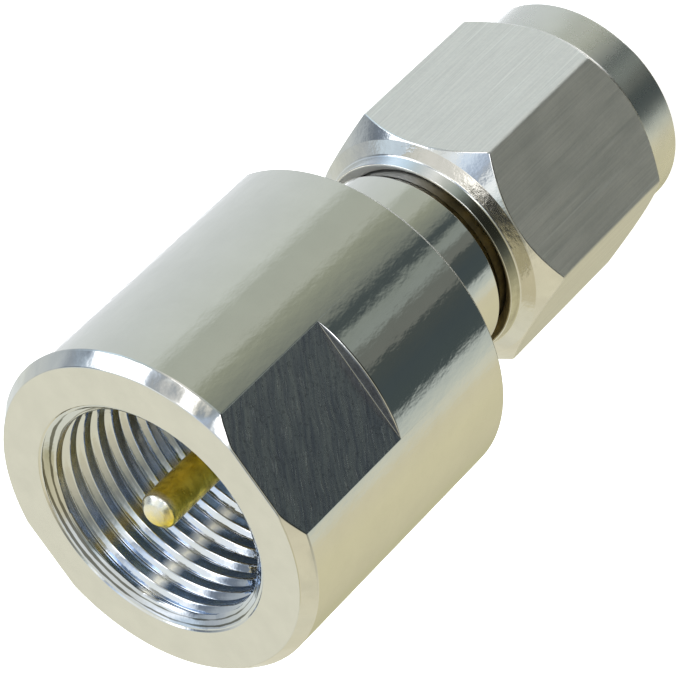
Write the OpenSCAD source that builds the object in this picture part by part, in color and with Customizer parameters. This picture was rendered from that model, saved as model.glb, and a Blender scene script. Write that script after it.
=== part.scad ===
// Coaxial adapter: SMA plug at the bottom, FME plug at the top.
// The adapter stands on the front face of its SMA coupling nut.
// The Z axis is the common axis of every piece, and z = 0 is that front face.

/* [FME shell] */
// Outer diameter of the turned shell
shell_d = 11.3; // [11.0:0.1:12.0]
// Length of the wide part of the shell
shell_l = 10.2; // [9.6:0.1:11.0]
// Distance across the two wrench flats
flat_w = 10.48; // [10.2:0.02:10.8]
// Length of the wrench flats, from the shell's front face
flat_l = 5.15; // [4.5:0.05:6.0]
// Bore of the M8 x 0.75 internal thread over its crests
fme_bore_d = 7.188; // [7.14:0.002:7.3]
// Diameter of the thread's mouth
fme_mouth_d = 8.06; // [7.9:0.02:8.3]
// Depth of the threaded bore
fme_depth = 7.0; // [6.4:0.1:7.4]
// Diameter of the neck behind the shell
neck_d = 6.6; // [6.4:0.1:7.0]
// Length of the neck
neck_l = 3.5; // [3.3:0.1:3.9]

/* [SMA side] */
// Width of the coupling nut across its flats
nut_af = 8.0; // [7.9:0.05:8.2]
// Length of the coupling nut
nut_l = 9.1; // [9.0:0.02:9.14]
// Diameter of the nut's round collar
collar_d = 7.6; // [7.3:0.1:7.8]
// Length of the collar
collar_l = 1.53; // [1.2:0.01:1.8]
// Angle of one corner of the hexagon from the X axis, as the nut is left turned
nut_turn = -5.5; // [-30:0.5:30]
// Bore of the 1/4"-36 internal thread over its crests
sma_bore_d = 5.7; // [5.66:0.02:5.8]
// Outer diameter of the plug sleeve
sleeve_d = 4.58; // [4.5:0.01:4.6]
// Inner diameter of the plug sleeve
sleeve_bore_d = 4.1; // [4.06:0.02:4.16]
// Diameter of the ferrule where the nut turns on it
journal_d = 6.0; // [5.9:0.02:6.02]
// Running clearance between ferrule and nut, on the radius
run_gap = 0.05; // [0.03:0.01:0.08]
// Axial play of the nut
nut_play = 0.3; // [0.2:0.05:0.32]

/* [Contacts] */
// Diameter of the FME contact pin
fme_pin_d = 1.2; // [1.1:0.02:1.22]
// Distance from the shell's front face down to the tip of the FME pin
fme_pin_set = 0.22; // [0.1:0.02:0.6]
// Diameter of the SMA contact pin
sma_pin_d = 0.93; // [0.9:0.01:0.94]
// Height of the SMA pin's tip above the nut's front face
sma_pin_set = 0.45; // [0.3:0.05:0.8]

/* [Hidden] */
$fn = 96;
// all positions follow from the nut's front face upwards
neck_gap = 0.1;
neck_z = nut_l + neck_gap;
shell_z = neck_z + neck_l;
top_z = shell_z + shell_l;
floor_z = top_z - fme_depth;
// the shell's inner steps
cavity_d = 4.6;
web_z = neck_z + 2.8;
web_l = 0.4;
tail_d = 4.9;
// the plug sleeve and its shoulder
sleeve_z = 2.7;
seat_z = 5.35;
// ring groove in the ferrule, and the ring at the top of it
groove_top = 7.5;
ring_l = 0.5;
ring_top = groove_top - 0.02;
groove_l = ring_l + nut_play + 0.04;
groove_d = journal_d - 0.76;
ring_id = journal_d - 0.6;
ring_od = journal_d + 0.6;
nut_bore_d = journal_d + 2 * run_gap;
nut_groove_d = journal_d + 0.76;
// diameters of the contact inside the two insulators
core_d = 1.27;
fme_core_d = 1.54;
// corner radius of the hexagon
hex_r = nut_af / sqrt(3);

// a full turn of a profile given as [radius, height] points
module turned(profile) {
  rotate_extrude(angle = 360) polygon(profile);
}

// a hexagonal prism between two heights
module hex_bar(z0, z1) {
  translate([0, 0, z0]) rotate([0, 0, nut_turn]) cylinder(r = hex_r, h = z1 - z0, $fn = 6);
}

// Shell: internal thread bore, two wrench flats, insulator seat and neck in one piece.
module fme_body() {
  c_front = 0.32;
  c_front_l = 0.44;
  c_rear = 0.2;
  c_neck = 0.18;
  c_neck_l = 0.32;
  r = shell_d / 2;
  m = fme_mouth_d / 2;
  b = fme_bore_d / 2;
  color([0.78, 0.79, 0.76]) difference() {
    turned([
      [tail_d / 2, neck_z],
      [neck_d / 2 - c_neck, neck_z],
      [neck_d / 2, neck_z + c_neck_l],
      [neck_d / 2, shell_z],
      [r - c_rear, shell_z],
      [r, shell_z + c_rear],
      [r, top_z - c_front_l],
      [r - c_front, top_z],
      [m, top_z],
      [b, top_z - (m - b)],
      [b, floor_z],
      [cavity_d / 2, floor_z],
      [cavity_d / 2, web_z + web_l],
      [1.5, web_z + web_l],
      [1.5, web_z],
      [tail_d / 2, web_z]
    ]);
    for (s = [-1, 1])
      translate([-r, s > 0 ? flat_w / 2 : -flat_w / 2 - r, top_z - flat_l])
        cube([2 * r, r, flat_l + 1]);
  }
}

// Ferrule: plug sleeve, journal with the ring groove, and tail pressed into the shell.
module sma_ferrule() {
  i = sleeve_bore_d / 2;
  s = sleeve_d / 2;
  j = journal_d / 2;
  color([0.76, 0.77, 0.74]) turned([
    [i, sleeve_z],
    [s - 0.1, sleeve_z],
    [s, sleeve_z + 0.1],
    [s, seat_z],
    [j, seat_z],
    [j, groove_top - groove_l],
    [groove_d / 2, groove_top - groove_l],
    [groove_d / 2, groove_top],
    [j, groove_top],
    [j, neck_z],
    [tail_d / 2, neck_z],
    [tail_d / 2, web_z],
    [i, web_z]
  ]);
}

// Coupling nut: hexagon with a round collar, internal thread, gasket relief and ring groove.
module sma_coupling_nut() {
  c = collar_d / 2;
  t = sma_bore_d / 2;
  thread_z = 4.3;
  relief_r = journal_d / 2 + 0.2;
  // the raised lip around the rear hole: its outer and inner radius
  lip = 3.46;
  lip_in = 3.4;
  color([0.74, 0.74, 0.7]) difference() {
    intersection() {
      union() {
        hex_bar(collar_l, nut_l);
        cylinder(d = collar_d, h = collar_l + 0.3);
      }
      turned([
        [0, 0],
        [c - 0.12, 0],
        [c, 0.12],
        [c, collar_l],
        [hex_r, collar_l + hex_r - c],
        [hex_r, nut_l - 1.25],
        [nut_af / 2, nut_l - 1.25 + hex_r - nut_af / 2],
        [lip + 0.07, nut_l - 0.37],
        [lip, nut_l],
        [0, nut_l]
      ]);
    }
    turned([
      [0, -1],
      [t + 1.4, -1],
      [t, 0.4],
      [t, thread_z],
      [relief_r, thread_z + 0.1],
      [relief_r, seat_z + 0.1],
      [nut_bore_d / 2, seat_z + 0.3],
      [nut_bore_d / 2, ring_top - ring_l - 0.02],
      [nut_groove_d / 2, ring_top - ring_l - 0.02],
      [nut_groove_d / 2, ring_top + 0.04],
      [nut_bore_d / 2, ring_top + 0.04],
      [nut_bore_d / 2, nut_l - (lip_in - nut_bore_d / 2)],
      [lip_in, nut_l],
      [lip_in, nut_l + 1],
      [0, nut_l + 1]
    ]);
  }
}

// Retaining ring: a split spring ring in both grooves.
module retaining_ring() {
  split_w = 0.8;
  color([0.7, 0.6, 0.35]) difference() {
    translate([0, 0, ring_top - ring_l]) difference() {
      cylinder(d = ring_od, h = ring_l);
      translate([0, 0, -1]) cylinder(d = ring_id, h = ring_l + 2);
    }
    translate([0, -split_w / 2, ring_top - ring_l - 1]) cube([ring_od, split_w, ring_l + 2]);
  }
}

// Gasket: flat sealing ring around the sleeve, against the journal's shoulder.
module sma_gasket() {
  g = 0.6;
  color([0.72, 0.25, 0.15]) translate([0, 0, seat_z - g]) difference() {
    cylinder(d = journal_d, h = g);
    translate([0, 0, -1]) cylinder(d = sleeve_d + 0.1, h = g + 2);
  }
}

// Insulator of the FME side, seated on the shell's web.
module fme_insulator() {
  z0 = web_z + web_l;
  color([0.93, 0.93, 0.9]) translate([0, 0, z0]) difference() {
    cylinder(d = cavity_d, h = floor_z - z0);
    translate([0, 0, -1]) cylinder(d = fme_core_d, h = floor_z - z0 + 2);
  }
}

// Insulator of the SMA side, the full length of the ferrule.
module sma_insulator() {
  color([0.93, 0.93, 0.9]) translate([0, 0, sleeve_z]) difference() {
    cylinder(d = sleeve_bore_d, h = web_z - sleeve_z);
    translate([0, 0, -1]) cylinder(d = core_d, h = web_z - sleeve_z + 2);
  }
}

// Centre contact: one turned pin with an end for each side and a collar between the insulators.
module centre_contact() {
  f = fme_pin_d / 2;
  p = sma_pin_d / 2;
  tip_z = top_z - fme_pin_set;
  color([0.72, 0.58, 0.22]) turned([
    [0, sma_pin_set],
    [p - 0.22, sma_pin_set],
    [p, sma_pin_set + 0.3],
    [p, sleeve_z],
    [core_d / 2, sleeve_z],
    [core_d / 2, web_z],
    [1.2, web_z],
    [1.2, web_z + web_l],
    [fme_core_d / 2, web_z + web_l],
    [fme_core_d / 2, floor_z],
    [f, floor_z],
    [f, tip_z - 0.1],
    [f - 0.08, tip_z],
    [0, tip_z]
  ]);
}

fme_body();
sma_ferrule();
sma_coupling_nut();
retaining_ring();
sma_gasket();
fme_insulator();
sma_insulator();
centre_contact();
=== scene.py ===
"""Looks for the coaxial adapter (SMA plug to FME plug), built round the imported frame.

Lengths in this script are in millimetres until a mesh or a place is handed to Blender.
Every turned piece is a loft of radial sections: each azimuth has its own closed outline of (radius, height) points,
which lets a lathe shape carry wrench flats, a hexagon and a helical thread in one closed mesh.
"""

import math

import bmesh
import bpy
import numpy as np
from mathutils import Matrix, Vector


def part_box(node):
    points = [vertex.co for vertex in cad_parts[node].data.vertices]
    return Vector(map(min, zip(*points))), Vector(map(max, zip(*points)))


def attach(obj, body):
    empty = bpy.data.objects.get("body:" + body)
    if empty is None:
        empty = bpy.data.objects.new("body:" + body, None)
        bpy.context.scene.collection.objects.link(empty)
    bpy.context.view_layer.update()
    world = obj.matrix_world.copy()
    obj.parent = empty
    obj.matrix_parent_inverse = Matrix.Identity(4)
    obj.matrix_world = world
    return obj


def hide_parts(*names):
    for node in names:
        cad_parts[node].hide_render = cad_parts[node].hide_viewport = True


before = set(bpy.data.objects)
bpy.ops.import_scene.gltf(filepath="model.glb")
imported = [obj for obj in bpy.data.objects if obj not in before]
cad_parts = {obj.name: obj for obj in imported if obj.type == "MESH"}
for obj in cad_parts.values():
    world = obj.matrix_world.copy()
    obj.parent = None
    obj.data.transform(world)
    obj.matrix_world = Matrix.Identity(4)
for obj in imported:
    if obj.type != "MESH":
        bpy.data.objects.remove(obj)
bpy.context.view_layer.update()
MM = 0.001
scene = bpy.context.scene


def box_mm(node):
    lo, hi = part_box(node)
    return np.array(lo) / MM, np.array(hi) / MM


# ---------------------------------------------------------------- camera
# Seen from 37 degrees above, rolled so that the mouth points to the lower left.
CAM_AT = (26.692, -102.379, 93.740)
CAM_RIGHT = (-0.565770, -0.595724, -0.570103)
CAM_UP = (0.799654, -0.227748, -0.555593)
FOCAL_PX, FRAME_PX = 4405.6, 680

camera = bpy.data.objects.new("camera", bpy.data.cameras.new("camera"))
scene.collection.objects.link(camera)
scene.camera = camera
right = Vector(CAM_RIGHT).normalized()
up = Vector(CAM_UP).normalized()
back = right.cross(up).normalized()
up = back.cross(right)
turn = Matrix((right, up, back)).transposed().to_4x4()
camera.matrix_world = Matrix.Translation(Vector(CAM_AT) * MM) @ turn
camera.data.sensor_fit = "HORIZONTAL"
camera.data.sensor_width = 36.0
camera.data.lens = FOCAL_PX * 36.0 / FRAME_PX
camera.data.clip_start, camera.data.clip_end = 0.01, 10.0

# ---------------------------------------------------------------- sections and lofts
SUPPORT = 0.004  # a short straight beside each rounding keeps flat faces flat in the shading


def rounded(points, radii, n=4):
    """A closed outline with rounded corners. The number of points out depends only on radii, so outlines can be joined."""
    pts = [np.array(p, float) for p in points]
    out = []
    for i, (p, rad) in enumerate(zip(pts, radii)):
        if rad == 0:
            out.append(p)
            continue
        a, b = pts[i - 1] - p, pts[(i + 1) % len(pts)] - p
        la, lb = np.hypot(*a), np.hypot(*b)
        if la < 1e-6 or lb < 1e-6:
            out += [p] * (n + 3)
            continue
        ua, ub = a / la, b / lb
        turn_by = math.pi - math.acos(max(-1.0, min(1.0, float(ua @ ub))))
        if turn_by < 1e-4:
            out += [p] * (n + 3)
            continue
        reach = min(rad * math.tan(turn_by / 2), 0.42 * la, 0.42 * lb)
        s = min(SUPPORT, 0.04 * la, 0.04 * lb)
        start, end, w = p + ua * reach, p + ub * reach, math.cos(turn_by / 2)
        out.append(start + ua * s)
        for k in range(n + 1):
            t = k / n
            c0, c1, c2 = (1 - t) ** 2, 2 * t * (1 - t) * w, t * t
            out.append((c0 * start + c1 * p + c2 * end) / (c0 + c1 + c2))
        out.append(end + ub * s)
    return out


def loft(name, azimuths, section):
    """A closed mesh from section(azimuth) -> outline of (r, z) in mm. azimuths run from 0 to a full turn, both included."""
    columns = [np.array(section(a)) for a in azimuths]
    m = len(columns[0])
    cs, sn = np.cos(azimuths), np.sin(azimuths)
    co = np.stack([np.column_stack((c[:, 0] * cs[i], c[:, 0] * sn[i], c[:, 1])) for i, c in enumerate(columns)])
    n = len(azimuths)
    index = np.arange(n * m).reshape(n, m)
    a, b = index[:-1], index[1:]
    faces = np.stack((a, b, np.roll(b, -1, 1), np.roll(a, -1, 1)), -1).reshape(-1, 4)
    mesh = bpy.data.meshes.new(name)
    mesh.from_pydata((co.reshape(-1, 3) * MM).tolist(), [], faces.tolist())
    bm = bmesh.new()
    bm.from_mesh(mesh)
    bmesh.ops.remove_doubles(bm, verts=bm.verts, dist=1e-7)
    bmesh.ops.dissolve_degenerate(bm, dist=1e-8, edges=bm.edges)
    bmesh.ops.recalc_face_normals(bm, faces=bm.faces)
    bm.to_mesh(mesh)
    bm.free()
    mesh.shade_smooth()
    mesh.set_sharp_from_angle(angle=math.radians(38))
    piece = bpy.data.objects.new(name, mesh)
    scene.collection.objects.link(piece)
    return piece


def azimuth_list(n, special=(), clear=0.25):
    """n even steps round the turn, with the special azimuths (degrees) put in place of steps too near to them."""
    special = sorted({round(s % 360, 4) for s in special})
    even = [360 * i / n for i in range(n)]
    keep = [e for e in even if all(min(abs(e - s), 360 - abs(e - s)) > clear for s in special)]
    every = sorted(set(keep) | set(special) | {0.0})
    return np.radians(np.array(every + [360.0]))


def thread_wave(crest_r, root_r, pitch, crest_w, root_w, ease, flank_steps, n=3):
    """One pitch of an internal thread as (share of the pitch, radius), from the middle of a crest to just before the next."""
    c, r = crest_w / 2, pitch / 2 - root_w / 2
    path = [(0, crest_r), (c, crest_r), (r, root_r), (pitch - r, root_r), (pitch - c, crest_r), (pitch, crest_r)]
    pts = [(0.0, crest_r)]
    for i in (1, 2, 3, 4):
        p, a, b = np.array(path[i]), np.array(path[i - 1]), np.array(path[i + 1])
        ua, ub = (a - p) / np.hypot(*(a - p)), (b - p) / np.hypot(*(b - p))
        turn_by = math.pi - math.acos(float(ua @ ub))
        lim = 0.49 if i in (2, 3) else 0.7
        reach = min(ease * math.tan(turn_by / 2), lim * np.hypot(*(a - p)), lim * np.hypot(*(b - p)))
        s, e, w = p + ua * reach, p + ub * reach, math.cos(turn_by / 2)
        arc = []
        for k in range(n + 1):
            t = k / n
            c0, c1, c2 = (1 - t) ** 2, 2 * t * (1 - t) * w, t * t
            arc.append((c0 * s + c1 * p + c2 * e) / (c0 + c1 + c2))
        if i in (2, 4):  # a flank comes before
            last = np.array(pts[-1])
            for k in range(1, flank_steps):
                pts.append(tuple(last + (arc[0] - last) * k / flank_steps))
        pts += [tuple(q) for q in arc]
    return [(z / pitch, rr) for z, rr in pts]


def thread_points(az, pitch, wave, z_low, z_high, limit, root_r, start=0.0, depth=None):
    """A right-hand thread's outline from z_low up to z_high at one azimuth. limit(z) is the least radius there, such as an entry cone."""
    lowest, highest = (max(root_r, limit(z_low)), z_low), (limit(z_high), z_high)
    pts = []
    for m in range(int(math.floor(z_low / pitch)) - 2, int(math.ceil(z_high / pitch)) + 2):
        for u, r in wave:
            z = pitch * (m + u + start + az / (2 * math.pi))
            deep = wave[0][1] + (r - wave[0][1]) * depth(z) if depth else r
            pts.append(lowest if z < z_low else highest if z > z_high else (max(deep, limit(z)), z))
    return pts


# ---------------------------------------------------------------- sizes, in mm
TOP = box_mm("fme_body")[1][2]
SHELL_R = box_mm("fme_body")[1][0]
NECK_Z = box_mm("fme_body")[0][2]
NUT_TOP = box_mm("sma_coupling_nut")[1][2]
PIN_TIP = box_mm("centre_contact")[1][2]
SMA_TIP = box_mm("centre_contact")[0][2]
SHELL_Z = TOP - 10.2
FLOOR_Z = TOP - 7.0
FLAT_Z = TOP - 5.15
FLAT_H = 5.24
WEB_Z = NECK_Z + 2.8
NECK_R = 3.3
MOUTH_R, FME_CREST, FME_ROOT, FME_PITCH, FME_START = 4.03, 3.594, 3.8, 0.685, -0.317
SMA_CREST, SMA_ROOT, SMA_PITCH = 2.85, 3.175, 25.4 / 36


# ---------------------------------------------------------------- shell
def flat_radius(az, side_round=0.12):
    """Radius of the shell's section where it carries the wrench flats: a circle with two chords, its four edges eased."""
    best = SHELL_R
    for normal in (math.pi / 2, -math.pi / 2):
        d = abs((az - normal + math.pi) % (2 * math.pi) - math.pi)
        if d > math.pi / 3:
            continue
        h, rho = FLAT_H, side_round
        xc = math.sqrt((SHELL_R - rho) ** 2 - (h - rho) ** 2)
        d1, d2 = math.atan2(xc, h), math.atan2(xc, h - rho)
        if d <= d1:
            r = h / math.cos(d)
        elif d < d2:
            along, side = xc * math.sin(d) + (h - rho) * math.cos(d), xc * math.cos(d) - (h - rho) * math.sin(d)
            r = along + math.sqrt(max(0.0, rho * rho - side * side))
        else:
            r = SHELL_R
        best = min(best, r)
    return best


FACE_R = SHELL_R - 0.32
CHAMFER_L = 0.44
fme_wave = thread_wave(FME_CREST, FME_ROOT, FME_PITCH, 0.3, 0.03, 0.11, 3, 4)


def fme_depth(z):
    """How much deeper the groove is near the mouth, so that it still shows in the entry cone."""
    t = min(1.0, max(0.0, (z - TOP + 0.65) / 0.5))
    return 1 + 0.9 * t * t * (3 - 2 * t)



def mouth_cone(z):
    return MOUTH_R - 1.5 * (TOP - z) if z > TOP - 0.5 else 0.0


def shell_section(az):
    rs = flat_radius(az)
    edge = 0.05
    z_cone = TOP - CHAMFER_L + (SHELL_R - rs) * CHAMFER_L / (SHELL_R - FACE_R)
    outline = rounded(
        [
            (2.45, NECK_Z), (NECK_R - 0.18, NECK_Z), (NECK_R, NECK_Z + 0.32), (NECK_R, SHELL_Z),
            (SHELL_R - 0.18, SHELL_Z), (SHELL_R, SHELL_Z + 0.18), (SHELL_R, FLAT_Z), (rs, FLAT_Z),
            (rs, min(z_cone, TOP - edge)), (min(rs - edge, FACE_R), TOP), (MOUTH_R, TOP), (MOUTH_R - 0.05, TOP - 0.05),
        ],
        [0, 0.06, 0.08, 0.05, 0.1, 0.05, 0.08, 0.04, 0.12, 0.06, 0.03, 0],
    )
    helix = thread_points(az, FME_PITCH, fme_wave, FLOOR_Z + 0.5, TOP - 0.05, mouth_cone, FME_ROOT, FME_START, fme_depth)[::-1]
    inside = [(FME_ROOT, FLOOR_Z), (2.3, FLOOR_Z), (2.3, WEB_Z + 0.4), (1.5, WEB_Z + 0.4), (1.5, WEB_Z), (2.45, WEB_Z)]
    return outline + helix + inside


def flat_specials():
    h, rho = FLAT_H, 0.12
    xc = math.sqrt((SHELL_R - rho) ** 2 - (h - rho) ** 2)
    d1, d2 = math.degrees(math.atan2(xc, h)), math.degrees(math.atan2(xc, h - rho))
    c1 = math.degrees(math.acos(min(1.0, h / FACE_R)))
    c2 = math.degrees(math.acos(min(1.0, h / (FACE_R + 0.05))))
    steps = [0, c1, c2, d1] + [d1 + (d2 - d1) * k / 3 for k in (1, 2, 3)] + [d1 - 0.15, d2 + 0.15]
    return [90 * s + t * d for s in (1, -1) for t in (1, -1) for d in steps]


shell = loft("shell", azimuth_list(300, flat_specials()), shell_section)

# ---------------------------------------------------------------- coupling nut
NUT_H, HEX_R, HEX_TURN = 4.0, 4.0 / math.cos(math.pi / 6), -5.5
COLLAR_R, COLLAR_Z = 3.80, 1.53
sma_wave = thread_wave(SMA_CREST, SMA_ROOT, SMA_PITCH, 0.14, 0.09, 0.07, 3, 2)


def hex_radius(az, corner_round=0.14):
    """Radius of a hexagon with slightly rounded corners, 8 mm across its flats."""
    d = abs((az - math.radians(HEX_TURN + 30) + math.pi / 6) % (math.pi / 3) - math.pi / 6)
    rho = corner_round
    d1 = math.atan2((NUT_H - rho) * math.tan(math.pi / 6), NUT_H)
    if d <= d1:
        return NUT_H / math.cos(d)
    dc, e = (NUT_H - rho) / math.cos(math.pi / 6), math.pi / 6 - d
    return dc * math.cos(e) + math.sqrt(max(0.0, rho * rho - (dc * math.sin(e)) ** 2))


def nut_mouth(z):
    return SMA_CREST + 0.4 - z if z < 0.6 else 0.0


def nut_section(az):
    rs = hex_radius(az)
    outline = rounded(
        [
            (SMA_CREST + 0.4, 0), (COLLAR_R - 0.12, 0), (COLLAR_R, 0.12), (COLLAR_R, COLLAR_Z),
            (rs, COLLAR_Z + rs - COLLAR_R), (rs, NUT_TOP - 1.25 + HEX_R - rs), (NUT_H - 0.03, NUT_TOP - 1.25 + HEX_R - NUT_H + 0.03),
            (3.53, NUT_TOP - 0.37), (3.46, NUT_TOP), (3.4, NUT_TOP), (3.05, NUT_TOP - 0.35),
            (3.05, 7.52), (3.38, 7.52), (3.38, 6.96), (3.05, 6.96), (3.05, 5.65), (3.2, 5.45), (3.2, 4.4),
        ],
        [0, 0.04, 0.06, 0.05, 0.07, 0.09, 0.06, 0.12, 0.03, 0.03, 0.1, 0, 0, 0, 0, 0, 0, 0],
    )
    helix = thread_points(az, SMA_PITCH, sma_wave, 0.01, 4.3, nut_mouth, SMA_ROOT)[::-1]
    return outline + helix


def hex_specials():
    rho = 0.14
    d1 = math.degrees(math.atan2((NUT_H - rho) * math.tan(math.pi / 6), NUT_H))
    ds = [0, d1 - 0.2, d1] + [d1 + (30 - d1) * k / 3 for k in (1, 2)] + [30]
    return [HEX_TURN + 30 + 60 * k + s * d for k in range(6) for s in (1, -1) for d in ds]


nut = loft("coupling_nut", azimuth_list(288, hex_specials()), nut_section)


# ---------------------------------------------------------------- turned pieces
def turned(name, points, radii=None, n=96):
    outline = rounded(points, radii or [0] * len(points))
    return loft(name, azimuth_list(n), lambda az: outline)


ferrule = turned(
    "ferrule",
    [
        (2.05, 2.7), (2.29, 2.7), (2.29, 5.35), (3.0, 5.35), (3.0, 6.66), (2.62, 6.66), (2.62, 7.5), (3.0, 7.5),
        (3.0, NECK_Z), (2.45, NECK_Z), (2.45, WEB_Z), (2.05, WEB_Z),
    ],
    [0.04, 0.08, 0.03, 0.05, 0.03, 0, 0, 0.03, 0, 0, 0, 0],
    192,
)
fme_bead = turned("fme_bead", [(0.77, WEB_Z + 0.4), (2.3, WEB_Z + 0.4), (2.3, FLOOR_Z), (0.77, FLOOR_Z)], [0, 0, 0.06, 0.04], 128)
sma_bead = turned("sma_bead", [(0.635, 2.7), (2.05, 2.7), (2.05, WEB_Z), (0.635, WEB_Z)], [0.04, 0.05, 0, 0], 128)
gasket = turned("gasket", [(2.34, 4.75), (3.0, 4.75), (3.0, 5.35), (2.34, 5.35)], [0.1, 0.12, 0.12, 0.1], 128)
contact = turned(
    "contact_pin",
    [
        (0, SMA_TIP), (0.465 - 0.24, SMA_TIP), (0.465, SMA_TIP + 0.32), (0.465, 2.7), (0.635, 2.7), (0.635, WEB_Z), (1.2, WEB_Z),
        (1.2, WEB_Z + 0.4), (0.77, WEB_Z + 0.4), (0.77, FLOOR_Z), (0.6, FLOOR_Z), (0.6, PIN_TIP - 0.20), (0.38, PIN_TIP - 0.01), (0, PIN_TIP),
    ],
    [0, 0.08, 0.12, 0.03, 0, 0, 0, 0, 0, 0, 0.03, 0.2, 0.14, 0],
    96,
)


def split_ring(name, r0, r1, z0, z1, gap):
    """A C-shaped spring ring of rectangular wire, its ends square to the ring."""
    half = math.asin(gap / 2 / r1)
    az = np.linspace(half, 2 * math.pi - half, 145)
    wire = rounded([(r0, z0), (r1, z0), (r1, z1), (r0, z1)], [0.05] * 4, 3)
    m = len(wire)
    co, faces = [], []
    for i, a in enumerate(az):
        co += [(r * math.cos(a) * MM, r * math.sin(a) * MM, z * MM) for r, z in wire]
    for i in range(len(az) - 1):
        for k in range(m):
            k1 = (k + 1) % m
            faces.append((i * m + k, (i + 1) * m + k, (i + 1) * m + k1, i * m + k1))
    faces.append(tuple(range(m)))
    faces.append(tuple((len(az) - 1) * m + k for k in reversed(range(m))))
    mesh = bpy.data.meshes.new(name)
    mesh.from_pydata(co, [], faces)
    bm = bmesh.new()
    bm.from_mesh(mesh)
    bmesh.ops.recalc_face_normals(bm, faces=bm.faces)
    bm.to_mesh(mesh)
    bm.free()
    mesh.shade_smooth()
    mesh.set_sharp_from_angle(angle=math.radians(38))
    piece = bpy.data.objects.new(name, mesh)
    scene.collection.objects.link(piece)
    return piece


ring = split_ring("spring_ring", 2.7, 3.3, 6.98, 7.48, 0.8)


# ---------------------------------------------------------------- materials
def srgb(r, g, b):
    """A display colour (0 to 255) as scene-linear."""
    return tuple(((c / 255 + 0.055) / 1.055) ** 2.4 if c > 10 else c / 255 / 12.92 for c in (r, g, b))


class Nodes:
    """Short calls for building a node tree."""

    def __init__(self, tree):
        self.tree = tree
        tree.nodes.clear()

    def add(self, kind, out=0, **settings):
        node = self.tree.nodes.new(kind)
        ins = settings.pop("ins", {})
        for k, v in settings.items():
            setattr(node, k, v)
        for k, v in ins.items():
            self.set(node.inputs[k], v)
        return node.outputs[out]

    def set(self, socket, value):
        if isinstance(value, bpy.types.NodeSocket):
            self.tree.links.new(value, socket)
        else:
            socket.default_value = value

    def math(self, op, a, b=0.0, c=0.0, clamp=False):
        return self.add("ShaderNodeMath", operation=op, use_clamp=clamp, ins={0: a, 1: b, 2: c})

    def scale(self, vector, xyz):
        return self.add("ShaderNodeVectorMath", operation="MULTIPLY", ins={0: vector, 1: xyz})

    def noise(self, vector, size, detail=2.0, rough=0.5, distort=0.0):
        """Noise whose features are about size metres across."""
        return self.add("ShaderNodeTexNoise", ins={"Vector": vector, "Scale": 1.0 / size, "Detail": detail, "Roughness": rough, "Distortion": distort})

    def span(self, value, lo, hi, to_lo, to_hi):
        return self.add("ShaderNodeMapRange", ins={0: value, 1: lo, 2: hi, 3: to_lo, 4: to_hi})

    def ramp(self, value, stops, interpolation="LINEAR"):
        node = self.tree.nodes.new("ShaderNodeValToRGB")
        node.color_ramp.interpolation = interpolation
        el = node.color_ramp.elements
        while len(el) > 1:
            el.remove(el[-1])
        el[0].position, el[0].color = stops[0][0], (*stops[0][1], 1)
        for at, colour in stops[1:]:
            el.new(at).color = (*colour, 1)
        self.set(node.inputs[0], value)
        return node.outputs[0]

    def bump(self, height, distance, normal=None, strength=1.0):
        ins = {"Height": height, "Distance": distance, "Strength": strength}
        if normal is not None:
            ins["Normal"] = normal
        return self.add("ShaderNodeBump", ins=ins)

    def mix(self, share, a, b):
        node = self.tree.nodes.new("ShaderNodeMix")
        node.data_type = "RGBA"
        self.set(node.inputs[0], share)
        self.set(node.inputs[6], a)
        self.set(node.inputs[7], b)
        return node.outputs[2]


def material(name, build, **fixed):
    m = bpy.data.materials.new(name)
    m.use_nodes = True
    n = Nodes(m.node_tree)
    point = n.add("ShaderNodeTexCoord", 3)  # object coordinates: metres, in the row's frame
    sockets = build(n, point)
    shader = m.node_tree.nodes.new("ShaderNodeBsdfPrincipled")
    for k, v in {**fixed, **sockets}.items():
        n.set(shader.inputs[k], v)
    out = m.node_tree.nodes.new("ShaderNodeOutputMaterial")
    m.node_tree.links.new(shader.outputs[0], out.inputs[0])
    return m


NICKEL = (0.76, 0.735, 0.67)
NICKEL_DULL = (0.66, 0.64, 0.58)


def nickel_turned(n, p):
    """Bright plating over a turned surface: faint rings round the axis, small waves, a little haze and a few fine dents."""
    rings = n.noise(n.scale(p, (40, 40, 9000)), 1.0, 3.0, 0.6)
    waves = n.noise(n.scale(p, (2.6, 2.6, 1.2)), 0.0007, 2.0, 0.55)
    haze = n.noise(p, 0.0012, 4.0, 0.6)
    dents = n.noise(p, 0.00014, 2.0, 0.7)
    colour = n.mix(n.span(haze, 0.35, 0.7, 0, 1), (*NICKEL, 1), (*(c * 0.96 for c in NICKEL), 1))
    rough = n.math("ADD", n.span(haze, 0.3, 0.75, 0.04, 0.09), n.span(rings, 0.3, 0.7, 0.0, 0.03))
    height = n.math("ADD", n.math("MULTIPLY", rings, 0.12), n.math("ADD", waves, n.math("MULTIPLY", dents, 0.2)))
    return {"Base Color": colour, "Roughness": rough, "Normal": n.bump(height, 0.0000065)}


def nickel_collar(n, p):
    """The nut's round collar: the same turned rings, less bright."""
    rings = n.noise(n.scale(p, (60, 60, 8000)), 1.0, 3.0, 0.6)
    haze = n.noise(p, 0.0009, 4.0, 0.6)
    colour = n.mix(n.span(haze, 0.35, 0.7, 0, 1), (*NICKEL, 1), (*(c * 0.93 for c in NICKEL), 1))
    rough = n.span(haze, 0.3, 0.75, 0.24, 0.31)
    return {"Base Color": colour, "Roughness": rough, "Normal": n.bump(n.math("ADD", rings, n.math("MULTIPLY", haze, 2.0)), 0.000003)}


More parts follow.
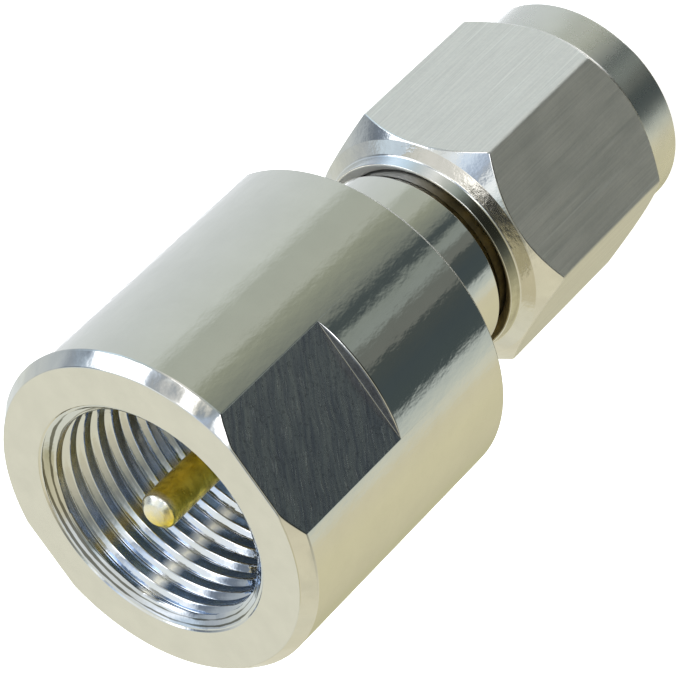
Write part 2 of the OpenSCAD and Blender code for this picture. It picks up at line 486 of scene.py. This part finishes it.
def nickel_faced(n, p):
    """The end faces: faint concentric turning marks under the plating."""
    r = n.add("ShaderNodeVectorMath", 1, operation="LENGTH", ins={0: n.scale(p, (1, 1, 0))})
    line = n.add("ShaderNodeCombineXYZ", ins={0: n.math("MULTIPLY", r, 9000.0), 1: 0.0, 2: 0.0})
    rings = n.noise(n.add("ShaderNodeVectorMath", operation="ADD", ins={0: line, 1: n.scale(p, (60, 60, 60))}), 1.0, 2.0)
    haze = n.noise(p, 0.001, 3.0, 0.6)
    colour = n.mix(n.span(haze, 0.35, 0.7, 0, 1), (*NICKEL, 1), (*(c * 0.95 for c in NICKEL), 1))
    rough = n.span(haze, 0.3, 0.75, 0.12, 0.2)
    return {"Base Color": colour, "Roughness": rough, "Normal": n.bump(n.math("ADD", rings, n.math("MULTIPLY", haze, 2.0)), 0.0000015)}


def nickel_eased(n, p):
    """The shell's front chamfer: eased by hand, so it is bright but wavy."""
    waves = n.noise(p, 0.0013, 1.0, 0.5)
    small = n.noise(p, 0.00035, 2.0, 0.5)
    haze = n.noise(p, 0.0008, 3.0, 0.6)
    colour = n.mix(n.span(haze, 0.35, 0.7, 0, 1), (*NICKEL, 1), (*(c * 0.95 for c in NICKEL), 1))
    height = n.math("ADD", waves, n.math("MULTIPLY", small, 0.06))
    return {"Base Color": colour, "Roughness": n.span(haze, 0.3, 0.75, 0.05, 0.1), "Normal": n.bump(height, 0.00011)}


def nickel_milled(n, p):
    """The wrench flats: milling scratches across the flat, a little off square."""
    turned_p = n.add("ShaderNodeVectorRotate", rotation_type="Y_AXIS", ins={"Vector": p, "Angle": math.radians(-33)})
    bent = n.add("ShaderNodeVectorMath", operation="ADD", ins={0: turned_p, 1: n.scale(n.noise(p, 0.0012, 1.0), (0.0, 0.0, 0.00030))})
    fine = n.noise(n.scale(bent, (1500, 3000, 24000)), 1.0, 2.0, 0.6)
    broad = n.noise(n.scale(bent, (700, 1000, 8000)), 1.0, 2.0, 0.5)
    scratch = n.span(n.noise(n.scale(bent, (1300, 1500, 24000)), 1.0, 1.0), 0.58, 0.72, 0.0, 1.0)
    pits = n.span(n.noise(p, 0.00010, 2.0, 0.6), 0.55, 0.7, 0.0, 1.0)
    height = n.math("ADD", n.math("MULTIPLY", fine, 0.6), n.math("ADD", broad, n.math("MULTIPLY", scratch, -0.5)))
    dark = n.mix(n.span(broad, 0.3, 0.7, 0, 1), (0.78, 0.78, 0.76, 1), (0.47, 0.48, 0.54, 1))
    light = n.mix(n.math("MULTIPLY", scratch, 0.5), dark, (0.86, 0.88, 0.84, 1))
    colour = n.mix(n.math("MULTIPLY", pits, 0.45), light, (0.24, 0.24, 0.27, 1))
    rough = n.math("ADD", n.span(fine, 0.3, 0.7, 0.18, 0.27), n.math("MULTIPLY", scratch, 0.12))
    return {"Base Color": colour, "Roughness": rough, "Normal": n.bump(height, 0.0000045)}


def nickel_bore(n, p):
    """The threaded bore: plain bright nickel on the thread's flanks that face out of the mouth; on its crests painted
    reflection tones, navy turning olive towards +x, with a painted olive reflection strip and a painted glint strip;
    painted dark shade lines in the fine rings of its entry.
    """
    facing = n.add("ShaderNodeSeparateXYZ", 2, ins={0: n.add("ShaderNodeTexCoord", 1)})
    lit = n.span(facing, 0.12, 0.45, 0.0, 1.0)
    haze = n.noise(p, 0.0006, 3.0, 0.6)
    marks = n.noise(n.scale(p, (500, 500, 9000)), 1.0, 2.0, 0.6)
    east = n.add("ShaderNodeSeparateXYZ", 0, ins={0: p})
    # Painted reflection tones for the crests: dark navy, and a dark olive that takes over towards +x.
    navy_painted_shade = n.mix(n.span(haze, 0.35, 0.65, 0, 1), (0.36, 0.52, 0.80, 1), (0.20, 0.31, 0.52, 1))
    olive_painted_shade = n.mix(n.span(haze, 0.35, 0.65, 0, 1), (0.64, 0.50, 0.18, 1), (0.42, 0.33, 0.11, 1))
    crest = n.mix(n.span(east, -0.0006, 0.0024, 0.0, 1.0), navy_painted_shade, olive_painted_shade)
    north = n.add("ShaderNodeSeparateXYZ", 1, ins={0: p})

    def strip(azimuth, inner, outer):
        """A strip down the bore at one azimuth, ragged at its sides; its half widths are in metres."""
        a = math.radians(azimuth)
        across = n.math("ADD", n.math("MULTIPLY", east, -math.sin(a)), n.math("MULTIPLY", north, math.cos(a)))
        ahead = n.math("ADD", n.math("MULTIPLY", east, math.cos(a)), n.math("MULTIPLY", north, math.sin(a)))
        ragged = n.math("ADD", n.math("ABSOLUTE", across), n.math("MULTIPLY", n.noise(p, 0.0004, 2.0, 0.6), 0.0003))
        return n.math("MULTIPLY", n.span(ahead, 0.0, 0.001, 0.0, 1.0), n.span(ragged, inner + 0.00015, outer + 0.00015, 1.0, 0.0))

    # Painted reflection strips down the crests: olive at 97 degrees, and cream painted glints at 129 degrees.
    painted_olive_strip = strip(97, 0.00005, 0.00045)
    painted_glint_strip = strip(129, 0.00004, 0.00042)
    crest = n.mix(painted_olive_strip, crest, (0.54, 0.46, 0.25, 1))
    crest = n.mix(painted_glint_strip, crest, (1.0, 0.97, 0.84, 1))
    # Plain nickel where the flanks face out of the mouth, the painted crest tones elsewhere.
    colour = n.mix(lit, crest, (0.73, 0.735, 0.72, 1))
    height = n.add("ShaderNodeSeparateXYZ", 2, ins={0: p})
    # Painted shade: dark lines in the entry's fine turning rings, swelling near x = 0.2 mm.
    turn_phase = n.math("ADD", n.math("MULTIPLY", height, 2 * math.pi / 0.000105), n.math("MULTIPLY", haze, 1.8))
    entry = n.span(height, (TOP - 0.36) * MM, (TOP - 0.3) * MM, 0.0, 1.0)
    away = n.math("ABSOLUTE", n.math("SUBTRACT", east, 0.0002))
    painted_shade_swell = n.math("ADD", n.span(away, 0.0008, 0.0017, 0.9, 0.0), n.span(n.noise(p, 0.0011, 1.0), 0.35, 0.65, -0.35, 0.35))
    line = n.math("MULTIPLY", entry, n.span(n.math("ADD", n.math("SINE", turn_phase), painted_shade_swell), 0.35, 0.8, 0.0, 0.9))
    colour = n.mix(line, colour, (0.14, 0.135, 0.10, 1))
    rough = n.math("ADD", n.span(facing, 0.05, 0.35, 0.20, 0.04), n.span(haze, 0.3, 0.75, 0.0, 0.05))
    relief = n.math("ADD", marks, n.math("MULTIPLY", haze, 2.0))
    # Metallic is lowered on the crests, most in the painted glint strip, so the painted tones show in diffuse light.
    painted_tone_share = n.math("MULTIPLY", n.math("SUBTRACT", 1.0, lit), n.math("ADD", n.span(east, -0.0006, 0.0024, 0.06, 0.16), n.span(haze, 0.3, 0.7, 0.0, 0.08)))
    painted_tone_share = n.math("ADD", painted_tone_share, n.math("MULTIPLY", n.math("SUBTRACT", 1.0, lit), n.math("ADD", n.math("MULTIPLY", painted_olive_strip, 0.08), n.math("MULTIPLY", painted_glint_strip, 0.78))))
    return {"Base Color": colour, "Roughness": rough, "Metallic": n.math("SUBTRACT", 1.0, painted_tone_share), "Normal": n.bump(relief, 0.0000045)}


def nickel_drawn(n, p):
    """The nut's flats: drawn hexagon bar, finely streaked along the axis, with a few longer scratches."""
    fine = n.noise(n.scale(p, (20000, 20000, 500)), 1.0, 2.0, 0.6)
    broad = n.noise(n.scale(p, (5000, 5000, 220)), 1.0, 2.0, 0.5)
    scratch = n.span(n.noise(n.scale(p, (12000, 12000, 170)), 1.0, 1.0), 0.66, 0.74, 0.0, 1.0)
    haze = n.noise(p, 0.0009, 3.0, 0.6)
    grain = n.noise(p, 0.00012, 2.0, 0.6)
    height = n.math("ADD", n.math("MULTIPLY", fine, 0.7), n.math("ADD", n.math("MULTIPLY", broad, 2.0), n.math("MULTIPLY", grain, 0.5)))
    mixed = n.math("ADD", n.math("MULTIPLY", fine, 0.7), n.math("MULTIPLY", grain, 0.3))
    base = n.mix(n.span(mixed, 0.35, 0.65, 0, 1), (*(c * 1.11 for c in NICKEL), 1), (*(c * 0.98 for c in NICKEL), 1))
    colour = n.mix(n.math("MULTIPLY", scratch, 0.5), base, (0.95, 0.93, 0.86, 1))
    rough = n.math("ADD", n.span(broad, 0.3, 0.7, 0.53, 0.59), n.span(haze, 0.3, 0.7, -0.03, 0.03))
    return {"Base Color": colour, "Roughness": rough, "Normal": n.bump(height, 0.000006)}


def nickel_rear(n, p):
    """The nut's rear chamfer and the lip: plating over a rougher cut, so the shine breaks up."""
    rings = n.noise(n.scale(p, (700, 700, 7000)), 1.0, 3.0, 0.6)
    lumps = n.noise(p, 0.0004, 3.0, 0.6)
    haze = n.noise(p, 0.0009, 2.0, 0.6)
    colour = n.mix(n.span(haze, 0.4, 0.6, 0, 1), (*NICKEL, 1), (*(c * 0.94 for c in NICKEL), 1))
    return {"Base Color": colour, "Roughness": n.span(lumps, 0.3, 0.7, 0.05, 0.13),
            "Normal": n.bump(n.math("ADD", n.math("MULTIPLY", rings, 0.4), lumps), 0.000012)}


def nickel_shaded(n, p):
    """The journal in the gap behind the nut, and the nut's countersink: painted shade in a dark olive tone, turning to
    a painted paler nickel towards +x.
    """
    rings = n.noise(n.scale(p, (200, 200, 9000)), 1.0, 2.0, 0.6)
    haze = n.noise(p, 0.0006, 3.0, 0.6)
    # Painted shade: dark olive, with painted light making it paler towards +x.
    olive_painted_shade = n.mix(n.span(haze, 0.35, 0.65, 0, 1), (0.52, 0.45, 0.27, 1), (0.30, 0.26, 0.16, 1))
    east = n.add("ShaderNodeSeparateXYZ", 0, ins={0: p})
    colour = n.mix(n.span(east, 0.0013, 0.0026, 0, 1), olive_painted_shade, (0.80, 0.79, 0.76, 1))
    return {"Base Color": colour, "Roughness": n.span(haze, 0.3, 0.7, 0.38, 0.5), "Normal": n.bump(n.math("ADD", rings, haze), 0.000004)}


def nickel_rubbed(n, p):
    """The shell's rear edge: rubbed dull where the plating is thinnest."""
    nicks = n.noise(p, 0.00012, 2.0, 0.6)
    haze = n.noise(p, 0.0006, 3.0, 0.6)
    colour = n.mix(n.span(nicks, 0.35, 0.65, 0, 1), (0.66, 0.64, 0.57, 1), (0.50, 0.49, 0.44, 1))
    return {"Base Color": colour, "Roughness": n.span(haze, 0.3, 0.7, 0.5, 0.62), "Normal": n.bump(nicks, 0.000004)}


def nickel_step(n, p):
    """The end walls of the wrench flats: painted shade, a dark grey standing in for the dark reflection in these steep
    walls.
    """
    sweep = n.noise(n.scale(p, (6000, 2500, 6000)), 1.0, 2.0, 0.6)
    haze = n.noise(p, 0.0005, 3.0, 0.6)
    # Painted shade: dark grey.
    colour = n.mix(n.span(haze, 0.35, 0.65, 0, 1), (0.26, 0.27, 0.28, 1), (0.15, 0.155, 0.17, 1))
    return {"Base Color": colour, "Roughness": n.span(haze, 0.3, 0.7, 0.3, 0.42), "Normal": n.bump(sweep, 0.000003)}


def nickel_lip(n, p):
    """The nut's narrow rear lip: a painted olive reflection and shade over the plating, turning to a painted paler
    nickel towards +x.
    """
    rings = n.noise(n.scale(p, (500, 500, 9000)), 1.0, 2.0, 0.6)
    haze = n.noise(p, 0.0007, 3.0, 0.6)
    olive_painted_shade = n.mix(n.span(haze, 0.35, 0.65, 0, 1), (0.62, 0.59, 0.44, 1), (0.48, 0.45, 0.32, 1))
    east = n.add("ShaderNodeSeparateXYZ", 0, ins={0: p})
    # Painted light: paler towards +x.
    colour = n.mix(n.span(east, 0.0008, 0.0024, 0, 1), olive_painted_shade, (0.82, 0.82, 0.80, 1))
    return {"Base Color": colour, "Roughness": n.span(haze, 0.3, 0.7, 0.12, 0.22), "Normal": n.bump(n.math("ADD", rings, haze), 0.000006)}


def gold_plating(n, p):
    """Gold over a turned pin, with a painted pale highlight on the +x side of the FME tip."""
    haze = n.noise(p, 0.0005, 3.0, 0.6)
    rings = n.noise(n.scale(p, (900, 900, 6000)), 1.0, 2.0)
    gold = n.mix(n.span(haze, 0.38, 0.62, 0, 1), (0.98, 0.77, 0.12, 1), (0.56, 0.43, 0.05, 1))
    height = n.add("ShaderNodeSeparateXYZ", 2, ins={0: p})
    side = n.add("ShaderNodeSeparateXYZ", 0, ins={0: p})
    tip = n.span(height, (PIN_TIP - 0.46) * MM, (PIN_TIP - 0.24) * MM, 0.0, 1.0)
    # Painted highlight: pale cream on the +x side of the tip.
    painted_tip_highlight = n.math("MULTIPLY", tip, n.span(n.math("ADD", side, n.math("MULTIPLY", haze, 0.0006)), -0.0001, 0.0005, 0.0, 0.85))
    colour = n.mix(painted_tip_highlight, gold, (0.93, 0.90, 0.80, 1))
    return {"Base Color": colour, "Roughness": n.span(haze, 0.3, 0.7, 0.16, 0.28),
            "Normal": n.bump(n.math("ADD", rings, n.math("MULTIPLY", haze, 1.5)), 0.000014)}


def ptfe_look(n, p):
    haze = n.noise(p, 0.0006, 3.0, 0.6)
    cut = n.noise(n.scale(p, (300, 300, 5000)), 1.0, 2.0)
    colour = n.mix(haze, (0.80, 0.80, 0.77, 1), (0.70, 0.70, 0.66, 1))
    return {"Base Color": colour, "Roughness": n.span(haze, 0.3, 0.7, 0.35, 0.5), "Normal": n.bump(cut, 0.000006)}


def silicone_look(n, p):
    haze = n.noise(p, 0.0004, 3.0, 0.6)
    colour = n.mix(haze, (0.48, 0.06, 0.03, 1), (0.36, 0.04, 0.02, 1))
    return {"Base Color": colour, "Roughness": n.span(haze, 0.3, 0.7, 0.45, 0.6), "Normal": n.bump(haze, 0.000004)}


def bronze_look(n, p):
    haze = n.noise(p, 0.0004, 3.0, 0.6)
    colour = n.mix(haze, (0.55, 0.38, 0.18, 1), (0.42, 0.27, 0.12, 1))
    return {"Base Color": colour, "Roughness": n.span(haze, 0.3, 0.7, 0.25, 0.4), "Normal": n.bump(haze, 0.000005)}


turned_look = material("nickel_turned", nickel_turned, Metallic=1.0)
bore_look = material("nickel_bore", nickel_bore, Metallic=1.0)
faced_look = material("nickel_faced", nickel_faced, Metallic=1.0)
milled_look = material("nickel_milled", nickel_milled, Metallic=1.0)
drawn_look = material("nickel_drawn", nickel_drawn, Metallic=1.0)
rear_look = material("nickel_rear", nickel_rear, Metallic=1.0)
eased_look = material("nickel_eased", nickel_eased, Metallic=1.0)
collar_look = material("nickel_collar", nickel_collar, Metallic=1.0)
shaded_look = material("nickel_shaded", nickel_shaded, Metallic=1.0)
lip_look = material("nickel_lip", nickel_lip, Metallic=1.0)
step_look = material("nickel_step", nickel_step, Metallic=1.0)
rubbed_look = material("nickel_rubbed", nickel_rubbed, Metallic=1.0)
gold = material("gold_plating", gold_plating, Metallic=1.0)
ptfe = material("ptfe", ptfe_look, Metallic=0.0)
silicone = material("silicone", silicone_look, Metallic=0.0)
bronze = material("spring_bronze", bronze_look, Metallic=1.0)


def paint(piece, looks, rule=None):
    """Gives the piece its materials, and each face the one that rule(centre in mm, normal) names."""
    for look in looks:
        piece.data.materials.append(look)
    if rule:
        for f in piece.data.polygons:
            f.material_index = rule(f.center / MM, f.normal)


def shell_rule(c, v):
    r = math.hypot(c.x, c.y)
    # The bore: painted reflection tones, glints and shade lines.
    if FLOOR_Z + 0.01 < c.z < TOP - 0.04 and FME_CREST - 0.1 < r < FACE_R - 0.2 and c.x * v.x + c.y * v.y < 0.1 * r:
        return 4
    if r > MOUTH_R and c.z > FLAT_Z - 0.01 and abs(abs(c.y) - FLAT_H) < 0.01 and abs(v.y) > 0.99:
        return 1
    # The flats' end walls: painted shade.
    if abs(c.z - FLAT_Z) < 0.02 and r > FLAT_H and v.z > 0.8:
        return 5
    if c.z > TOP - 0.03 and v.z > 0.95 and r > MOUTH_R - 0.1:
        return 2
    if c.z > TOP - CHAMFER_L - 0.3 and r > FACE_R - 0.05 and v.z > 0.1:
        return 3
    if c.z < SHELL_Z + 0.02 and r > NECK_R + 0.04 and v.z < -0.9:
        return 2
    if c.z < SHELL_Z + 0.26 and r > SHELL_R - 0.25 and v.z < -0.03:
        return 6
    return 0


def nut_rule(c, v):
    r = math.hypot(c.x, c.y)
    # The countersink: painted shade.
    if c.z > NUT_TOP - 0.5 and r < 3.43:
        return 4
    # The rear lip: painted olive reflection and shade.
    if c.z > NUT_TOP - 0.36 and r < 3.54 and v.z < 0.6:
        return 5
    if r < 3.35 or c.z < 0.01:
        return 0
    if c.z < COLLAR_Z + 0.01:
        return 3
    if c.z > NUT_TOP - 1.3 and abs(v.z) > 0.1:
        return 2
    return 1 if abs(v.z) < 0.1 else 3


paint(shell, [turned_look, milled_look, faced_look, eased_look, bore_look, step_look, rubbed_look], shell_rule)
paint(nut, [turned_look, drawn_look, rear_look, collar_look, shaded_look, lip_look], nut_rule)
for piece, look in ((ring, bronze), (gasket, silicone), (fme_bead, ptfe), (sma_bead, ptfe), (contact, gold)):
    paint(piece, [look])
# The ferrule's journal in the gap behind the nut gets the painted shade of nickel_shaded.
paint(ferrule, [turned_look, shaded_look], lambda c, v: 1 if c.z > 7.5 and math.hypot(c.x, c.y) > 2.9 else 0)
for piece, body, slot, node in (
    (shell, "adapter", "nickel", "fme_body"),
    (ferrule, "adapter", "nickel", "sma_ferrule"),
    (nut, "nut", "nickel", "sma_coupling_nut"),
    (ring, "ring", "spring_bronze", "retaining_ring"),
    (gasket, "adapter", "silicone", "sma_gasket"),
    (fme_bead, "adapter", "ptfe", "fme_insulator"),
    (sma_bead, "adapter", "ptfe", "sma_insulator"),
    (contact, "adapter", "gold_plate", "centre_contact"),
):
    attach(piece, body)
    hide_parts(node)

# ---------------------------------------------------------------- studio
# The bright metal mirrors rings of soft cards round the set. Each list goes round the compass, in degrees from +X.
# The upright walls mirror the low ring, rounded edges the level one, chamfers the high ring and the nut's cone the top ring.
LOW_CARDS = [
    (-180, (198, 192, 158)), (-164, (197, 191, 161)), (-155, (196, 196, 177)), (-148, (182, 187, 175)), (-140, (167, 174, 167)),
    (-134, (64, 73, 72)), (-118, (62, 71, 72)), (-104, (68, 74, 71)), (-101, (104, 107, 100)), (-92, (101, 105, 98)),
    (-87, (130, 137, 130)), (-79, (125, 132, 124)), (-73, (66, 74, 73)), (-68, (68, 76, 75)), (-62, (114, 119, 110)),
    (-43, (140, 144, 126)), (-36, (165, 169, 155)), (-16, (163, 168, 155)), (-6, (189, 194, 185)), (24, (193, 198, 193)),
    (56, (202, 206, 203)), (69, (216, 218, 216)), (78, (252, 252, 251)), (98, (254, 255, 253)), (108, (172, 166, 131)),
    (126, (172, 167, 132)), (143, (184, 178, 146)), (157, (192, 186, 153)), (180, (198, 192, 158)),
]
LEVEL_CARDS = [
    (-180, (204, 199, 174)), (-150, (160, 158, 140)), (-130, (84, 88, 86)), (-112, (44, 46, 42)), (-96, (36, 38, 36)),
    (-80, (40, 42, 42)), (-68, (90, 96, 96)), (-56, (148, 157, 153)), (-42, (186, 187, 178)), (-31, (224, 222, 212)),
    (-20, (188, 190, 182)), (-9, (174, 185, 184)), (3, (192, 212, 222)), (14, (211, 228, 236)), (24, (166, 182, 194)),
    (33, (150, 158, 164)), (42, (168, 175, 178)), (60, (190, 194, 190)), (72, (200, 203, 194)), (82, (203, 206, 200)),
    (100, (206, 207, 196)), (112, (204, 201, 180)), (130, (203, 198, 173)), (144, (202, 197, 171)), (156, (203, 199, 175)),
    (180, (204, 199, 174)),
]
HIGH_CARDS = [
    (-180, (206, 201, 174)), (-160, (206, 200, 173)), (-147, (204, 198, 172)), (-134, (196, 190, 165)), (-118, (170, 167, 146)),
    (-105, (160, 158, 140)), (-92, (186, 187, 176)), (-82, (206, 210, 206)), (-77, (252, 252, 252)), (-68, (251, 252, 253)), (-62, (168, 178, 186)),
    (-52, (140, 148, 152)), (-46, (206, 204, 192)), (-42, (252, 251, 250)), (-34, (252, 251, 250)), (-28, (206, 206, 200)), (-19, (150, 156, 160)),
    (-12, (196, 206, 216)), (-5, (250, 252, 252)), (18, (250, 252, 252)), (24, (196, 208, 220)), (29, (112, 122, 134)),
    (36, (108, 116, 124)), (46, (150, 157, 160)), (56, (166, 171, 172)), (66, (186, 189, 182)), (80, (206, 206, 191)),
    (104, (211, 209, 190)), (120, (204, 203, 186)), (160, (204, 200, 175)), (180, (203, 197, 171)),
]
TOP_CARDS = [
    (-180, (192, 184, 153)), (-160, (184, 177, 152)), (-137, (150, 148, 130)), (-121, (120, 121, 112)), (-108, (126, 130, 123)),
    (-97, (151, 157, 152)), (-88, (200, 210, 210)), (-77, (240, 244, 242)), (-69, (226, 232, 234)), (-62, (160, 168, 176)),
    (-54, (172, 186, 204)), (-43, (206, 220, 234)), (-30, (222, 228, 230)), (-13, (221, 223, 215)), (16, (226, 231, 233)), (24, (248, 251, 252)), (36, (190, 203, 212)),
    (45, (196, 210, 219)), (58, (180, 190, 194)), (70, (206, 208, 194)), (104, (211, 209, 190)), (131, (188, 187, 161)),
    (140, (161, 155, 121)), (152, (184, 176, 143)), (180, (192, 184, 153)),
]
BELOW_CARDS = [
    (-180, (196, 190, 158)), (-173, (190, 184, 153)), (-165, (60, 62, 58)), (-85, (46, 48, 50)), (-68, (150, 154, 152)), (-54, (250, 250, 250)),
    (-18, (250, 250, 250)), (-6, (246, 248, 248)), (50, (244, 246, 246)), (80, (206, 208, 204)), (120, (200, 195, 170)), (180, (170, 164, 132)),
]
FLASH = 2.2  # how much brighter than white the lamp behind the white card is


def studio():
    world = bpy.data.worlds.new("studio")
    scene.world = world
    world.use_nodes = True
    n = Nodes(world.node_tree)
    way = n.add("ShaderNodeTexCoord", 0)
    split = n.tree.nodes.new("ShaderNodeSeparateXYZ")
    n.set(split.inputs[0], way)
    x, y, z = split.outputs
    compass = n.math("ADD", n.math("DIVIDE", n.math("ARCTAN2", y, x), 2 * math.pi), 0.5)

    def cards(stops):
        out = []
        for a, colour in stops:
            lift = FLASH if min(colour) >= 250 else 1.0
            out.append(((a + 180) / 360, tuple(lift * c / b for c, b in zip(srgb(*colour), NICKEL))))
        return out

    def climb(lo, hi):
        return n.add("ShaderNodeMapRange", interpolation_type="SMOOTHSTEP",
                     ins={0: z, 1: math.sin(math.radians(lo)), 2: math.sin(math.radians(hi)), 3: 0.0, 4: 1.0})

    sky = n.mix(climb(-62, -52), n.ramp(compass, cards(BELOW_CARDS)), n.ramp(compass, cards(LOW_CARDS)))
    sky = n.mix(climb(-34, -26), sky, n.ramp(compass, cards(LEVEL_CARDS)))
    sky = n.mix(climb(6, 20), sky, n.ramp(compass, cards(HIGH_CARDS)))
    sky = n.mix(climb(36, 44), sky, n.ramp(compass, cards(TOP_CARDS)))
    sky = n.mix(climb(60, 72), sky, (0.80, 0.84, 0.86, 1))
    background = n.tree.nodes.new("ShaderNodeBackground")
    n.set(background.inputs[0], sky)
    out = n.tree.nodes.new("ShaderNodeOutputWorld")
    n.tree.links.new(background.outputs[0], out.inputs[0])


studio()


def floor_look(n, p):
    return {"Base Color": n.mix(n.noise(p, 0.05, 2.0), (0.93, 0.93, 0.93, 1), (0.95, 0.95, 0.95, 1))}


bpy.ops.mesh.primitive_plane_add(size=2.0, location=(0, 0, 0))
floor = bpy.context.object
floor.name = "floor"
floor.visible_glossy = False  # the metal mirrors the cards, not the lit floor
floor.data.materials.append(material("floor_white", floor_look, **{"Roughness": 0.9, "Specular IOR Level": 0.0, "Emission Color": (1, 1, 1, 1), "Emission Strength": 0.75}))

key = bpy.data.objects.new("key", bpy.data.lights.new("key", "AREA"))
scene.collection.objects.link(key)
key.data.shape = "DISK"
key.data.size = 0.5
key.data.energy = 3.0
key.location = (0.15, -0.25, 0.6)
key.rotation_euler = (Vector((0, 0, 0.01)) - key.location).to_track_quat("-Z", "Y").to_euler()
key.visible_glossy = False
scene.view_settings.view_transform = "Standard"
scene.view_settings.look = "None"
